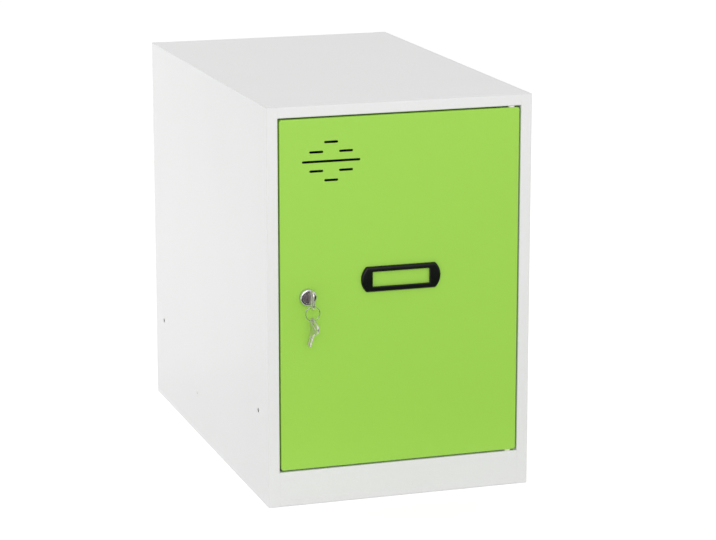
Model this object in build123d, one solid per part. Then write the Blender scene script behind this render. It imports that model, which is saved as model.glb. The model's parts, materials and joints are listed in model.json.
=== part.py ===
"""Small steel locker: a folded sheet cabinet, a pivot-hung door and a cam lock with its two keys on a ring.

Millimetres, +Z up, +Y into the cabinet, +X to the right as seen from the front.
The origin is the centre of the cabinet's footprint, on the plane that it stands on.
"""

from build123d import *
import math
import os

os.makedirs("parts", exist_ok=True)

# Cabinet
cabinet_width = 300.0
cabinet_depth = 500.0
cabinet_height = 440.0
body_sheet = 1.0
body_bend = 0.5
stile_width = 12.7
head_rail = 12.2
plinth_height = 39.0
jamb_depth = 18.5
stop_lip = 8.3
jamb_return = 7.0
head_return = 8.0
rear_flange = 15.0
top_side_flange = 15.0
base_lip = 14.0

# Holes that fix the cabinet to its neighbours and to a wall
joining_hole = 5.5
joining_inset = 40.0
joining_height = 100.0
wall_hole = 7.0
wall_hole_spacing = 200.0
wall_hole_drop = 40.0

# Door
door_sheet = 1.0
door_bend = 0.5
door_depth = 16.0
door_lip = 12.0
door_corner = 3.0
side_gap = 1.6
end_gap = 1.7

# Vents in the door: one long slot with shorter ones above and below it
vent_height = 2.6
vent_long = 65.0
vent_short = 15.5
vent_pitch = 10.3
vent_spread = 33.2
vent_from_edge = 57.3
vent_from_top = 46.6

# Pivot hinges
pivot_from_edge = 8.5
pivot_depth = 4.3
pin_diameter = 4.0
pin_head = 5.2
pin_head_height = 1.6
pin_reach = 1.2
pin_chamfer = 0.5
bush_barrel = 5.2
bush_flange = 7.4
bush_clearance = 0.2
bore_clearance = 0.05
hinge_plate = 2.0
hinge_plate_reach = 16.0

# Stiffener behind the door's face
stiffener_width = 40.0
stiffener_depth = 12.5
stiffener_flange = 8.0
stiffener_sheet = 0.8
stiffener_margin = 22.0

# Rubber buffers on the stop lip
buffer_diameter = 6.4
buffer_height = 2.2
buffer_inset = 45.0

# Label holder
label_width = 90.5
label_height = 28.0
label_bulge = 6.0
label_thick = 3.4
label_chamfer = 1.0
window_width = 65.0
window_height = 16.5
window_bevel = 0.8
card_pocket = 0.9
card_margin = 2.0
label_above_lock = 14.3
label_pin = 4.0
label_pin_length = 5.5
label_pin_from_end = 6.6
push_nut = 9.0
push_nut_thick = 0.6

# Cam lock
lock_from_edge = 30.2
lock_height = 233.0
lock_head = 18.6
lock_head_height = 5.5
lock_head_round = 1.8
lock_body = 16.0
lock_flats = 13.8
lock_length = 18.6
lock_fit = 0.1
lock_nut_flats = 22.0
lock_nut_thick = 3.5
lock_washer = 21.0
lock_washer_thick = 0.8
plug_diameter = 11.0
plug_front = 12.6
plug_front_thick = 1.2
plug_recess = 0.6
plug_clearance = 0.03
plug_tail = 0.2
tang_square = 6.5
tang_fit = 0.05
stop_washer = 15.0
stop_washer_thick = 1.2
stop_tab = 3.0
cam_thick = 2.2
cam_width = 12.0
cam_boss = 17.0
cam_reach = 29.0
cam_corner = 3.0
cam_screw = 4.0
cam_screw_head = 8.0
cam_screw_head_height = 2.4
cam_screw_length = 7.5
spring_washer = 8.4
spring_washer_thick = 0.9
driver_slot = 1.0
tang_short = 0.3

# Keys and their ring
key_thick = 2.0
key_bow_length = 17.5
key_bow_width = 21.0
key_bow_corner = 6.5
key_slot_length = 15.0
key_slot_width = 5.0
key_slot_from_end = 4.9
key_neck = 1.5
key_neck_width = 11.0
key_blade_width = 8.0
key_blade_length = 18.5
key_tip = 2.6
key_groove_width = 1.8
key_groove_depth = 0.45
key_cut_width = 2.0
key_cut_pitch = 3.2
key_cut_first = 4.0
key_cut_depths = (1.3, 0.7, 1.5, 0.9)
keyway_clearance = 0.2
ring_radius = 7.9
ring_wire = 1.3
ring_slack = 0.3
ring_split = 5.0

# Planes and places that several pieces share
side_plane = cabinet_width / 2
front_plane = -cabinet_depth / 2
back_plane = cabinet_depth / 2
opening_half = side_plane - stile_width
opening_top = cabinet_height - head_rail
opening_base = plinth_height
stop_plane = front_plane + jamb_depth
door_half = opening_half - side_gap
door_top = opening_top - end_gap
door_base = opening_base + end_gap
door_inside = front_plane + door_sheet
door_back = front_plane + door_depth
pivot_x = door_half - pivot_from_edge
pivot_y = front_plane + pivot_depth
lock_x = -door_half + lock_from_edge
head_front = front_plane - lock_head_height
plug_face = head_front + plug_recess
lock_rear = front_plane + lock_length
plug_rear = lock_rear + plug_tail
cam_front = plug_rear + stop_washer_thick
cam_rear = cam_front + cam_thick
tang_end = cam_rear - tang_short
screw_seat = cam_rear + spring_washer_thick
inner_side = side_plane - body_sheet
stiffener_span = (door_base + stiffener_margin, door_top - stiffener_margin)


def block(x, y, z):
    """Box between pairs of planes."""
    size = Box(x[1] - x[0], y[1] - y[0], z[1] - z[0])
    return Pos((x[0] + x[1]) / 2, (y[0] + y[1]) / 2, (z[0] + z[1]) / 2) * size


def folded_face(points, thickness, bend):
    """Section of folded sheet: the points run along one of its faces, and the sheet lies on their left."""
    steps = [Vector(*b) - Vector(*a) for a, b in zip(points, points[1:])]
    lefts = [Vector(-step.Y, step.X).normalized() for step in steps]
    near, far, near_radii, far_radii = [], [], [], []
    for index, point in enumerate(points):
        before = lefts[max(index - 1, 0)]
        after = lefts[min(index, len(lefts) - 1)]
        near.append(Vector(*point))
        far.append(Vector(*point) + (before + after) * (thickness / (1 + before.dot(after))))
        turn = before.cross(after).Z
        outside, inside = (bend + thickness, bend) if turn > 0 else (bend, bend + thickness)
        at_end = index in (0, len(points) - 1)
        near_radii.append(0 if at_end else outside)
        far_radii.append(0 if at_end else inside)
    outline = FilletPolyline(*near, *reversed(far), radius=near_radii + far_radii[::-1], close=True)
    return make_face(outline)


def upright(face, low, high):
    """Stands a section drawn in X and Y between two heights."""
    return extrude(Pos(0, 0, low) * face, high - low)


def across(face, half):
    """Runs a section drawn in Y and Z across the cabinet, to the same distance each side of its middle."""
    return extrude(Plane.YZ * face, half, both=True)


def facing(sketch, y_front, y_rear):
    """Gives a shape drawn on the front view its place in depth."""
    return extrude(Plane.XZ.offset(-y_rear) * sketch, y_rear - y_front)


def disc(x, z, diameter, y_front, y_rear):
    """Round piece on an axis that runs into the cabinet."""
    return facing(Pos(x, z) * Circle(diameter / 2), y_front, y_rear)


def post(x, y, diameter, low, high):
    """Round piece on an upright axis."""
    return Pos(x, y, (low + high) / 2) * Cylinder(diameter / 2, high - low)


# Cabinet pieces


def side_panel(lip_end):
    """Left side: one sheet folded into the rear flange, the side, the stile, the jamb and the jamb's lip."""
    rear = [(-side_plane + rear_flange, back_plane), (-side_plane, back_plane)]
    stile = [(-side_plane, front_plane), (-opening_half, front_plane)]
    jamb = [(-opening_half, stop_plane), (lip_end, stop_plane)]
    plain = folded_face(rear + stile, body_sheet, body_bend)
    jambed = folded_face(rear + stile + jamb, body_sheet, body_bend)
    panel = upright(plain, 0, opening_base) + upright(jambed, opening_base, opening_top)
    panel += upright(plain, opening_top, cabinet_height)
    for end in (joining_inset - back_plane, back_plane - joining_inset):
        hole = Pos(-side_plane, end, joining_height) * Rot(0, 90, 0) * Cylinder(joining_hole / 2, stile_width)
        panel -= hole
    return panel


def notched(panel):
    """Cuts a tray back to lie between the stiles and the rear flanges, clear of the bends in the corners."""
    for side in (-1, 1):
        stile = sorted((side * opening_half, side * side_plane))
        flange = sorted((side * (side_plane - rear_flange), side * side_plane))
        panel -= block(stile, (front_plane, front_plane + body_sheet), (0, cabinet_height))
        panel -= block(flange, (back_plane - body_sheet, back_plane), (0, cabinet_height))
        corner = sorted((side * (inner_side - body_bend), side * side_plane))
        reach = body_sheet + body_bend
        panel -= block(corner, (front_plane, front_plane + reach), (0, cabinet_height))
        panel -= block(corner, (back_plane - reach, back_plane), (0, cabinet_height))
    return panel


def top_panel():
    """Top tray: rear flange, top, head rail, the rail's underside and its upturned edge."""
    section = folded_face(
        [
            (back_plane, cabinet_height - rear_flange),
            (back_plane, cabinet_height),
            (front_plane, cabinet_height),
            (front_plane, opening_top),
            (stop_plane, opening_top),
            (stop_plane, opening_top + head_return),
        ],
        body_sheet,
        body_bend,
    )
    panel = across(section, inner_side)
    under_top = cabinet_height - body_sheet
    for side in (-1, 1):
        wall = sorted((side * inner_side, side * (inner_side - body_sheet)))
        run = (stop_plane, back_plane - 2 * body_sheet)
        panel += block(wall, run, (cabinet_height - top_side_flange, under_top))
    return notched(panel) - post(pivot_x, pivot_y, pin_diameter + 2 * bore_clearance, opening_top, under_top)


def floor_panel():
    """Compartment floor with the plinth in front and a turned-in lip all round the base."""
    section = folded_face(
        [
            (back_plane - base_lip, 0),
            (back_plane, 0),
            (back_plane, opening_base),
            (front_plane, opening_base),
            (front_plane, 0),
            (front_plane + base_lip, 0),
        ],
        body_sheet,
        body_bend,
    )
    panel = across(section, inner_side)
    run = (front_plane + body_sheet, back_plane - body_sheet)
    for side in (-1, 1):
        wall = sorted((side * inner_side, side * (inner_side - body_sheet)))
        lip = sorted((side * inner_side, side * (inner_side - base_lip)))
        panel += block(wall, run, (0, opening_base - body_sheet))
        panel += block(lip, run, (0, body_sheet))
    hole = post(pivot_x, pivot_y, pin_diameter + 2 * bore_clearance, base_lip, opening_base)
    return notched(panel) - hole


def back_panel():
    """Flat sheet inside the rear flanges, from the floor to the top, with two holes for wall screws."""
    depth = (back_plane - 2 * body_sheet, back_plane - body_sheet)
    half = inner_side - body_bend
    panel = block((-half, half), depth, (opening_base, cabinet_height - body_sheet - body_bend))
    for side in (-1, 1):
        x = side * wall_hole_spacing / 2
        panel -= disc(x, cabinet_height - wall_hole_drop, wall_hole, *depth)
    return panel


def stop_buffers():
    """Rubber dots on the stop lip that the closed door rests against."""
    x = -opening_half + (stop_lip + body_sheet) / 2
    heights = (opening_base + buffer_inset, opening_top - buffer_inset)
    return [disc(x, z, buffer_diameter, stop_plane - buffer_height, stop_plane) for z in heights]


# Door pieces


def rounded_tray(inset, corner, front_round, y_front):
    """Door-shaped block, drawn in by an even amount, with its front edge rounded over."""
    half = door_half - inset
    outline = RectangleRounded(2 * half, door_top - door_base - 2 * inset, corner)
    tray = facing(Pos(0, (door_top + door_base) / 2) * outline, y_front, door_back - inset)
    return fillet(tray.faces().sort_by(Axis.Y)[0].edges(), front_round)


def vent_slots():
    """Slots of the vent, row by row: the longest in the middle, one short one at the top and the bottom."""
    x = -door_half + vent_from_edge
    z = door_top - vent_from_top
    slots = Pos(x, z) * SlotOverall(vent_long, vent_height)
    for side in (-1, 1):
        slots += Pos(x, z + side * 2 * vent_pitch) * SlotOverall(vent_short, vent_height)
        for end in (-1, 1):
            place = Pos(x + end * vent_spread / 2, z + side * vent_pitch)
            slots += place * SlotOverall(vent_short, vent_height)
    return facing(slots, front_plane, door_inside)


def lock_section(diameter, flats):
    """Round section with two flats, which keeps the lock from turning in the door."""
    return Pos(lock_x, lock_height) * (Circle(diameter / 2) & Rectangle(diameter, flats))


def label_pin_places():
    """Where the label holder's two pins go through the door."""
    reach = label_width / 2 - label_pin_from_end
    return [(-reach, lock_height + label_above_lock), (reach, lock_height + label_above_lock)]


def door_panel():
    """Door skin: face, four folded sides and a return lip all round, with every hole that the door needs."""
    skin = rounded_tray(0, door_corner, door_bend + door_sheet, front_plane)
    skin -= rounded_tray(door_sheet, door_corner - door_sheet, door_bend, door_inside)
    mouth_half = door_half - door_lip
    mouth = ((-mouth_half, mouth_half), (door_inside, door_back), (door_base + door_lip, door_top - door_lip))
    skin -= block(*mouth)
    skin -= vent_slots()
    skin -= facing(lock_section(lock_body + lock_fit, lock_flats + lock_fit), front_plane, door_inside)
    for x, z in label_pin_places():
        skin -= disc(x, z, label_pin + 2 * bore_clearance, front_plane, door_inside)
    barrel = bush_barrel + 2 * bore_clearance
    skin -= post(pivot_x, pivot_y, barrel, door_top - door_sheet, door_top)
    skin -= post(pivot_x, pivot_y, barrel, door_base, door_base + door_sheet)
    return skin


def door_stiffener():
    """Hat-shaped channel that runs up the middle of the door's inside."""
    half = stiffener_width / 2
    foot = half + stiffener_flange
    crown = door_inside + stiffener_depth
    left = [(-foot, door_inside), (-half, door_inside), (-half, crown)]
    right = [(half, crown), (half, door_inside), (foot, door_inside)]
    return upright(folded_face(left + right, stiffener_sheet, door_bend), *stiffener_span)


def hinge_set(rail, door_edge, away):
    """Pin, bush and the two plates at one end of the door; away is +1 where the cabinet is above the door."""
    y = (front_plane + body_sheet + body_bend, stop_plane - body_sheet - body_bend)
    y_door = (door_inside + door_bend, door_back - door_sheet - door_bend)
    x_body = (pivot_x - hinge_plate_reach, door_half - door_corner)
    body_face = rail + away * body_sheet
    head_seat = body_face + away * hinge_plate
    door_face = door_edge - away * door_sheet
    bush_end = door_face - away * hinge_plate
    bush_top = rail - away * bush_clearance
    pin_end = bush_end - away * pin_reach
    bore = pin_diameter + 2 * bore_clearance
    fixed_plate = block(x_body, y, sorted((body_face, head_seat)))
    fixed_plate -= post(pivot_x, pivot_y, bore, *sorted((body_face, head_seat)))
    moving_plate = block(x_body, y_door, sorted((door_face, bush_end)))
    moving_plate -= post(pivot_x, pivot_y, bush_barrel + 2 * bore_clearance, *sorted((door_face, bush_end)))
    bush = post(pivot_x, pivot_y, bush_barrel, *sorted((bush_end, door_edge)))
    bush += post(pivot_x, pivot_y, bush_flange, *sorted((door_edge, bush_top)))
    bush -= post(pivot_x, pivot_y, bore, *sorted((bush_end, bush_top)))
    shank = post(pivot_x, pivot_y, pin_diameter, *sorted((pin_end, head_seat)))
    tip = shank.faces().sort_by(Axis.Z)[0 if away > 0 else -1].edges()
    pin = chamfer(tip, pin_chamfer)
    pin += post(pivot_x, pivot_y, pin_head, *sorted((head_seat, head_seat + away * pin_head_height)))
    return fixed_plate, moving_plate, bush, pin


def label_outline():
    """Label holder seen from the front: straight top and bottom, bulging ends."""
    half = label_width / 2 - label_bulge
    tall = label_height / 2
    bulge = label_width / 2
    right = ThreePointArc((half, -tall), (bulge, 0), (half, tall))
    left = ThreePointArc((-half, tall), (-bulge, 0), (-half, -tall))
    edges = Line((-half, -tall), (half, -tall)) + right + Line((half, tall), (-half, tall)) + left
    return Pos(0, lock_height + label_above_lock) * make_face(edges)


def label_frame():
    """Moulded label holder with a bevelled window, a shallow pocket for the card and two pins behind."""
    front = front_plane - label_thick
    frame = facing(label_outline(), front, front_plane)
    frame = chamfer(frame.faces().sort_by(Axis.Y)[0].edges(), label_chamfer)
    centre = Pos(0, lock_height + label_above_lock)
    frame -= facing(centre * Rectangle(window_width, window_height), front, front_plane)
    rim = frame.faces().sort_by(Axis.Y)[0].inner_wires()[0].edges()
    frame = chamfer(rim, window_bevel)
    pocket = Rectangle(window_width + 2 * card_margin, window_height + 2 * card_margin)
    frame -= facing(centre * pocket, front_plane - card_pocket, front_plane)
    for x, z in label_pin_places():
        frame += disc(x, z, label_pin, front_plane, front_plane + label_pin_length)
    return frame


def push_nuts():
    """Spring caps pressed on the label holder's pins, behind the door's face."""
    depth = (door_inside, door_inside + push_nut_thick)
    bore = label_pin + 2 * bore_clearance
    return [disc(x, z, push_nut, *depth) - disc(x, z, bore, *depth) for x, z in label_pin_places()]


# Lock pieces


def lock_housing():
    """Domed head, flatted body and the stepped bore that the plug turns in."""
    head = disc(lock_x, lock_height, lock_head, head_front, front_plane)
    head = fillet(head.faces().sort_by(Axis.Y)[0].edges(), lock_head_round)
    housing = head + facing(lock_section(lock_body, lock_flats), front_plane, lock_rear)
    bore = plug_diameter + 2 * plug_clearance
    seat = plug_front + 2 * plug_clearance
    step = plug_face + plug_front_thick + plug_clearance
    housing -= disc(lock_x, lock_height, bore, head_front, lock_rear)
    return housing - disc(lock_x, lock_height, seat, head_front, step)


def lock_nut():
    """Hexagon nut that clamps the lock to the door, over its washer."""
    front = door_inside + lock_washer_thick
    rear = front + lock_nut_thick
    hexagon = Pos(lock_x, lock_height) * RegularPolygon(lock_nut_flats / 2, 6, major_radius=False)
    nut = facing(hexagon, front, rear)
    corners = lock_nut_flats / math.cos(math.pi / 6)
    turned = disc(lock_x, lock_height, corners, front, rear)
    turned = chamfer(turned.faces().sort_by(Axis.Y)[-1].edges(), (corners - lock_nut_flats) / 2)
    return (nut & turned) - disc(lock_x, lock_height, lock_body + 2 * bore_clearance, front, rear)


def nut_washer():
    """Flat washer between the nut and the door."""
    rear = door_inside + lock_washer_thick
    washer = disc(lock_x, lock_height, lock_washer, door_inside, rear)
    return washer - disc(lock_x, lock_height, lock_body + 2 * bore_clearance, door_inside, rear)


def lock_plug():
    """Turning core: front collar, keyway, square tang and a tapped hole for the cam's screw."""
    plug = disc(lock_x, lock_height, plug_front, plug_face, plug_face + plug_front_thick)
    plug += disc(lock_x, lock_height, plug_diameter, plug_face, plug_rear)
    plug += facing(Pos(lock_x, lock_height) * Rectangle(tang_square, tang_square), plug_rear, tang_end)
    slot = Rectangle(key_thick + 2 * keyway_clearance, key_blade_width + 2 * keyway_clearance)
    keyway_end = plug_face + key_blade_length + keyway_clearance
    plug -= facing(Pos(lock_x, lock_height) * slot, plug_face, keyway_end)
    return plug - disc(lock_x, lock_height, cam_screw + 2 * bore_clearance, screw_tip(), tang_end)


def screw_tip():
    """Depth that the cam's screw reaches inside the plug."""
    return screw_seat - cam_screw_length


def stop_tab_washer():
    """Washer on the tang whose tab would meet the housing at each end of the quarter turn."""
    ring = Circle(stop_washer / 2) + Pos(0, -stop_washer / 2) * Rectangle(stop_tab, stop_tab)
    hole = Rectangle(tang_square + 2 * tang_fit, tang_square + 2 * tang_fit)
    return facing(Pos(lock_x, lock_height) * (ring - hole), plug_rear, cam_front)


def lock_cam():
    """Flat cam, hanging down while the door is free to open."""
    arm = Pos(0, -cam_reach / 2) * Rectangle(cam_width, cam_reach)
    arm = fillet(arm.vertices().group_by(Axis.Y)[0], cam_corner)
    hole = Rectangle(tang_square + 2 * tang_fit, tang_square + 2 * tang_fit)
    cam = Circle(cam_boss / 2) + arm - hole
    return facing(Pos(lock_x, lock_height) * cam, cam_front, cam_rear)


def cam_screw_piece():
    """Slotted screw that holds the cam on the plug."""
    screw = disc(lock_x, lock_height, cam_screw_head, screw_seat, screw_seat + cam_screw_head_height)
    screw = fillet(screw.faces().sort_by(Axis.Y)[-1].edges(), driver_slot)
    end = screw_seat + cam_screw_head_height
    slot = Pos(lock_x, lock_height) * Rectangle(cam_screw_head, driver_slot)
    screw -= facing(slot, end - driver_slot, end)
    return screw + disc(lock_x, lock_height, cam_screw, screw_tip(), screw_seat)


def cam_washer():
    """Washer under the head of the cam's screw."""
    washer = disc(lock_x, lock_height, spring_washer, cam_rear, screw_seat)
    return washer - disc(lock_x, lock_height, cam_screw + 2 * bore_clearance, cam_rear, screw_seat)


# Keys


def key_cut(depth):
    """Cut in a key's edge with a flat bottom and sloping flanks, drawn to both sides of the edge."""
    flat = key_cut_width / 2
    wide = flat + depth
    upper = [(wide, 0), (flat, depth), (-flat, depth), (-wide, 0)]
    return make_face(Polyline((-flat, -depth), (flat, -depth), *upper, close=True))


def key_blank():
    """Flat key along +Y from the end of its bow, its faces square to X."""
    shoulder = key_bow_length + key_neck
    tip = shoulder + key_blade_length
    half = key_blade_width / 2
    bow = Pos(key_bow_length / 2, 0) * RectangleRounded(key_bow_length, key_bow_width, key_bow_corner)
    slot = Pos(key_slot_from_end, 0) * SlotOverall(key_slot_length, key_slot_width, rotation=90)
    neck = Pos(shoulder - key_neck, 0) * Rectangle(2 * key_neck, key_neck_width)
    blade = make_face(
        Polyline(
            (key_bow_length, -half),
            (tip - key_tip, -half),
            (tip, -half + key_tip),
            (tip, half - key_tip),
            (tip - key_tip, half),
            (key_bow_length, half),
            close=True,
        )
    )
    for index, depth in enumerate(key_cut_depths):
        place = shoulder + key_cut_first + index * key_cut_pitch
        for side in (-1, 1):
            blade -= Pos(place, side * half) * key_cut(depth)
    key = extrude(Plane.YZ * (bow - slot + neck + blade), key_thick / 2, both=True)
    for side in (-1, 1):
        groove = block(
            sorted((side * (key_thick / 2 - key_groove_depth), side * key_thick / 2)),
            (shoulder, tip),
            (-key_groove_width / 2, key_groove_width / 2),
        )
        key -= groove
    return key


# Where the ring crosses the rim of the key's slot, and the hinge point that keeps its turning clear
rim_depth = (key_bow_width - key_slot_length) / 2
rim_height = lock_height - key_slot_length / 2 - rim_depth / 2
rim_corner = math.hypot(rim_depth, key_thick) / 2
ring_top = rim_height + rim_corner + ring_slack + ring_wire / 2
ring_centre = ring_top - ring_radius
ring_bottom = ring_centre - ring_radius
bow_end = plug_face - key_neck - key_bow_length
ring_plane = bow_end + key_slot_from_end


def key_ring():
    """Wire ring in a plane parallel to the door, with its ends almost meeting."""
    ring = Torus(ring_radius, ring_wire / 2, major_angle=360 - ring_split)
    return Pos(lock_x, ring_plane, ring_centre) * Rot(90, 0, 0) * ring


def spare_key():
    """Second key, hung by one end of its slot so that its weight lies straight below the ring."""
    blank = key_blank()
    wire_along = key_slot_from_end - key_slot_width / 2 + ring_slack + ring_wire / 2
    wire_across = (key_slot_length - key_slot_width) / 2
    weight = blank.center(CenterOf.MASS)
    lean = math.degrees(math.atan2(wire_across - weight.Z, weight.Y - wire_along))
    hung = Rot(lean - 90, 0, 0) * Pos(0, -wire_along, -wire_across) * blank
    return Pos(lock_x, ring_plane, ring_bottom) * hung


# Every piece by name
upper = hinge_set(opening_top, door_top, 1)
lower = hinge_set(opening_base, door_base, -1)
stop_end = -opening_half + stop_lip
return_end = -opening_half - jamb_return

pieces = {
    "left_side_panel": side_panel(stop_end),
    "right_side_panel": mirror(side_panel(return_end), Plane.YZ),
    "top_panel": top_panel(),
    "floor_panel": floor_panel(),
    "back_panel": back_panel(),
    "stop_buffers": stop_buffers(),
    "upper_hinge_plate": upper[0],
    "lower_hinge_plate": lower[0],
    "upper_door_plate": upper[1],
    "lower_door_plate": lower[1],
    "upper_hinge_bush": upper[2],
    "lower_hinge_bush": lower[2],
    "upper_hinge_pin": upper[3],
    "lower_hinge_pin": lower[3],
    "door_panel": door_panel(),
    "door_stiffener": door_stiffener(),
    "label_frame": label_frame(),
    "label_push_nuts": push_nuts(),
    "lock_housing": lock_housing(),
    "lock_nut": lock_nut(),
    "lock_washer": nut_washer(),
    "lock_plug": lock_plug(),
    "cam_stop_washer": stop_tab_washer(),
    "lock_cam": lock_cam(),
    "cam_spring_washer": cam_washer(),
    "cam_screw": cam_screw_piece(),
    "key": Pos(lock_x, bow_end, lock_height) * key_blank(),
    "key_ring": key_ring(),
    "spare_key": spare_key(),
}

for name, piece in pieces.items():
    solids = [solid for part in (piece if isinstance(piece, list) else [piece]) for solid in part.solids()]
    shape = solids[0] if len(solids) == 1 else Compound(solids)
    export_step(shape, f"parts/{name}.step")
    print(name, "solids", len(solids), "volume", round(sum(solid.volume for solid in solids)))

print("hinge axis", round(pivot_x, 3), round(pivot_y, 3))
print("lock axis", round(lock_x, 3), lock_height)
print("rim centre", round(rim_height, 3), "ring plane", round(ring_plane, 3))
print("ring bottom", round(ring_bottom, 3))
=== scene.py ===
# %% [markdown]
# # Dressing a small steel locker
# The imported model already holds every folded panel, hinge and lock piece at its real size and place.
# This lesson gives them their finishes, adds the small things that only mesh code makes well, such as screw
# threads, weld marks and soft rubber, and then lights and frames the locker as in a product picture.
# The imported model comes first, because every place and size that follows is read from it.

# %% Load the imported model
import json
import math

import bmesh
import bpy
from mathutils import Matrix, Vector


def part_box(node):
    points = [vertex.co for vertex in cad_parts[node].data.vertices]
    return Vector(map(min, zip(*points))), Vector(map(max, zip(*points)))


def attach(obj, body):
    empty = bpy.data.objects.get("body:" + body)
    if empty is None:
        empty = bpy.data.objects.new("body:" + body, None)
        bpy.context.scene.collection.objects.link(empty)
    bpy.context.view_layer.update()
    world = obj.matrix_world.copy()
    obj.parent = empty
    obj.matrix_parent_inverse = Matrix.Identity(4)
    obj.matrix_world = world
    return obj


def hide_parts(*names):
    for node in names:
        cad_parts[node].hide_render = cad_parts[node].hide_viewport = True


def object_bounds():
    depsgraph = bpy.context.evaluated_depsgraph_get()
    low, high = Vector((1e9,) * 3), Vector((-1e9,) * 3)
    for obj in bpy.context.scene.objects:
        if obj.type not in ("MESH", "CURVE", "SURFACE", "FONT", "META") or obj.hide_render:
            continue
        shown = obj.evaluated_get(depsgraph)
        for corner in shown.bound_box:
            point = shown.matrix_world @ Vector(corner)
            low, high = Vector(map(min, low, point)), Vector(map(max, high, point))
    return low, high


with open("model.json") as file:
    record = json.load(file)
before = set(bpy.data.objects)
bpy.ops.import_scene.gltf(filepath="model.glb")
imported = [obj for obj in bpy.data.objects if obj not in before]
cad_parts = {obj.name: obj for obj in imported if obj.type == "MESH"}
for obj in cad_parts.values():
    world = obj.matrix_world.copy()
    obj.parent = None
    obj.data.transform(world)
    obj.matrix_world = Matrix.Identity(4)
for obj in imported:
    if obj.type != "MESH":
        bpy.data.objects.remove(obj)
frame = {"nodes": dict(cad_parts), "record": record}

cad_box = [list(corner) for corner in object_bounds()]
print("locker box in metres:", [[round(v, 4) for v in corner] for corner in cad_box])

# %% [markdown]
# ## Sums with sockets
# A finish is a small sum: this noise, a little stretched, times that mask. Written with nodes alone, each
# plus sign takes four lines. A class that wraps a socket and overloads the plus, minus and times signs lets
# the sum be read as a sum. The reflected forms let a plain number stand on the left, as in 1 - mask.

# %% A socket that takes part in sums
class Socket:
    """One output of a node, or what a sum of such outputs gives."""

    def __init__(self, tree, output):
        self.tree = tree
        self.output = output

    def sum(self, operation, first, second):
        return self.tree.add("ShaderNodeMath", {"operation": operation}, {0: first, 1: second})

    def __add__(self, other):
        return self.sum("ADD", self, other)

    __radd__ = __add__

    def __mul__(self, other):
        return self.sum("MULTIPLY", self, other)

    __rmul__ = __mul__

    def __sub__(self, other):
        return self.sum("SUBTRACT", self, other)

    def __rsub__(self, other):
        return self.sum("SUBTRACT", other, self)


# %% [markdown]
# One method makes every other node. It sets the node's own settings first, because they decide which sockets
# the node shows, and then fills those sockets with a number, a colour or a link.

# %% A tree of nodes
class Tree:
    """The node tree of a material or of the world, cleared and ready to be filled."""

    def __init__(self, owner):
        owner.use_nodes = True
        self.owner = owner
        self.graph = owner.node_tree
        self.graph.nodes.clear()

    def find(self, sockets, name):
        """Socket by its number, or by its name among those that the settings leave in use."""
        if isinstance(name, int):
            return sockets[name]
        return next(s for s in sockets if s.enabled and s.name == name)

    def add(self, kind, settings=None, values=None, out=0):
        """New node of a kind, and the output of it that is wanted."""
        node = self.graph.nodes.new(kind)
        for name, value in (settings or {}).items():
            setattr(node, name, value)
        for name, value in (values or {}).items():
            socket = self.find(node.inputs, name)
            if isinstance(value, Socket):
                self.graph.links.new(value.output, socket)
            else:
                socket.default_value = value
        return Socket(self, self.find(node.outputs, out)) if node.outputs else None


# %% [markdown]
# Four questions come up in nearly every finish: where is this point on the piece, how strong is a noise of a
# given grain there, is an edge close by, and what lies between two colours. Each gets a short helper. The
# places are the piece's own coordinates in metres, so a pattern keeps its real size and moves with its
# piece.

# %% Helpers that look at the surface
bevel_samples = 4
edge_turn = 0.25


def place(tree, stretch=(1, 1, 1)):
    """Where the point is on its piece, in metres, with each axis stretched for streaks."""
    here = tree.add("ShaderNodeTexCoord", out="Object")
    return tree.add("ShaderNodeVectorMath", {"operation": "MULTIPLY"}, {0: here, 1: stretch})


def grain(tree, size, detail=2.0, stretch=(1, 1, 1)):
    """Noise from 0 to 1 whose bumps are about as far apart as size, in metres."""
    values = {"Vector": place(tree, stretch), "Scale": 1 / size, "Detail": detail}
    return tree.add("ShaderNodeTexNoise", {"noise_dimensions": "3D"}, values)


def masked(tree, value, low, high):
    """0 where value is below low, 1 above high, and a ramp between."""
    values = {"Value": value, "From Min": low, "From Max": high}
    return tree.add("ShaderNodeMapRange", {"clamp": True}, values)


def near_edge(tree, reach):
    """1 on an edge, falling to 0 within reach of it: a rounded normal is compared with the true one."""
    soft = tree.add("ShaderNodeBevel", {"samples": bevel_samples}, {"Radius": reach})
    true = tree.add("ShaderNodeNewGeometry", out="Normal")
    same = tree.add("ShaderNodeVectorMath", {"operation": "DOT_PRODUCT"}, {0: soft, 1: true}, out="Value")
    return masked(tree, 1 - same, 0.0, edge_turn)


# %% [markdown]
# The eye knows a finish by its colour, its relief and its shine. These helpers mix two colours, turn a
# height into a bent surface direction, and end each finish in one main shader. Ready-made materials could be
# loaded from a file instead, but then none of their sums could be read here.

# %% Helpers that make the finish
finishes = {}


def colour(red, green, blue):
    return (red, green, blue, 1.0)


def blend(tree, amount, first, second):
    """A colour between two others."""
    values = {"Factor": amount, "A": first, "B": second}
    return tree.add("ShaderNodeMix", {"data_type": "RGBA"}, values, out="Result")


def bumped(tree, height, depth, rounding=0.0):
    """Surface direction after a relief of this depth, in metres, on edges softened by rounding."""
    values = {"Height": height, "Distance": depth, "Strength": 1.0}
    if rounding:
        values["Normal"] = tree.add("ShaderNodeBevel", {"samples": bevel_samples}, {"Radius": rounding})
    return tree.add("ShaderNodeBump", {}, values)


def finish(slot):
    """Empty tree for one of the record's material slots."""
    finishes[slot] = bpy.data.materials.new(slot)
    return Tree(finishes[slot])


def surface(tree, **values):
    """Main shader of a finish and its output; each value has the name of its socket."""
    named = {name.replace("_", " ").title().replace("Ior", "IOR"): value for name, value in values.items()}
    shader = tree.add("ShaderNodeBsdfPrincipled", {}, named)
    tree.add("ShaderNodeOutputMaterial", {}, {"Surface": shader})
    print("finish", tree.owner.name, "with", len(tree.graph.nodes), "nodes")


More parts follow.
